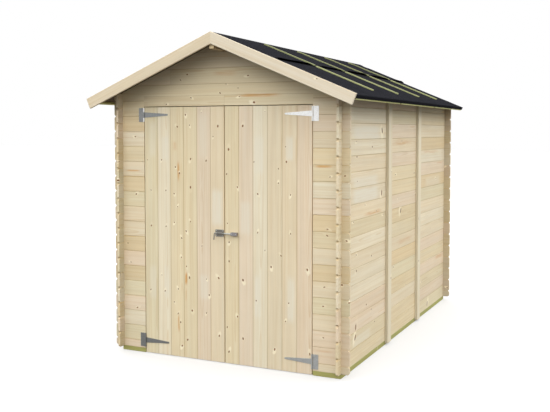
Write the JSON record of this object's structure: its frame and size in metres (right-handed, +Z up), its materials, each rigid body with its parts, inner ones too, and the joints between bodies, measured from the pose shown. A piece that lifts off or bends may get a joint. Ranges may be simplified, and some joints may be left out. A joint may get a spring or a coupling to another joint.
{
  "type": "wooden garden shed",
  "caption": "Gabled garden shed of interlocking softwood planks crossed at the corners, with double doors in the front gable and a felted roof held by battens.",
  "frame": {"origin": "on the ground, in the middle of the shed's overall plan", "axes": "+Z up, +Y from the door front to the rear, +X to the right when facing the doors"},
  "size_m": [2.1, 3.116, 2.335],
  "materials": {
    "wall_planks": "planed untreated spruce with knots",
    "door_boards": "planed untreated spruce with knots",
    "framing": "planed untreated spruce",
    "fascia": "planed untreated spruce, pale",
    "base_beams": "green impregnated softwood",
    "battens": "light green impregnated softwood",
    "roofing_felt": "mineral-surfaced bitumen roofing felt",
    "galvanised_steel": "galvanised, dull"
  },
  "bodies": {
    "root": {"base_beam_front": "base_beams", "base_beam_rear": "base_beams", "base_beam_left": "base_beams", "base_beam_right": "base_beams", "front_wall_left": "wall_planks", "front_wall_right": "wall_planks", "front_gable": "wall_planks", "lintel_boards": "wall_planks", "rear_wall": "wall_planks", "rear_gable": "wall_planks", "left_wall_front": "wall_planks", "left_wall_middle": "wall_planks", "left_wall_rear": "wall_planks", "right_wall_front": "wall_planks", "right_wall_middle": "wall_planks", "right_wall_rear": "wall_planks", "left_wall_ribs": "framing", "right_wall_ribs": "framing", "door_post_left": "framing", "door_post_right": "framing", "door_head": "framing", "ridge_beam": "framing", "roof_boards_left": "framing", "roof_boards_right": "framing", "felt_left": "roofing_felt", "felt_right": "roofing_felt", "felt_ridge": "roofing_felt", "battens_left": "battens", "battens_right": "battens", "eave_strip_left": "battens", "eave_strip_right": "battens", "fascia_left": "fascia", "fascia_right": "fascia", "left_hinge_plates": "galvanised_steel", "right_hinge_plates": "galvanised_steel"},
    "left_door": {"left_door_boards": "door_boards", "left_door_ledges": "framing", "left_door_braces": "framing", "left_hinge_straps": "galvanised_steel", "bolt_case": "galvanised_steel"},
    "right_door": {"right_door_boards": "door_boards", "right_door_ledges": "framing", "right_door_braces": "framing", "right_hinge_straps": "galvanised_steel", "bolt_keeper": "galvanised_steel"},
    "bolt": {"bolt_rod": "galvanised_steel"}
  },
  "joints": [
    {"name": "left_door_swing", "type": "hinge", "parent": "root", "child": "left_door", "pos_m": [-0.674, -1.3685, 0.936], "axis": [0, 0, -1], "range_deg": [0, 140]},
    {"name": "right_door_swing", "type": "hinge", "parent": "root", "child": "right_door", "pos_m": [0.674, -1.3685, 0.936], "axis": [0, 0, 1], "range_deg": [0, 140]},
    {"name": "bolt_slide", "type": "slide", "parent": "left_door", "child": "bolt", "axis": [-1, 0, 0], "range_m": [0, 0.022]}
  ]
}
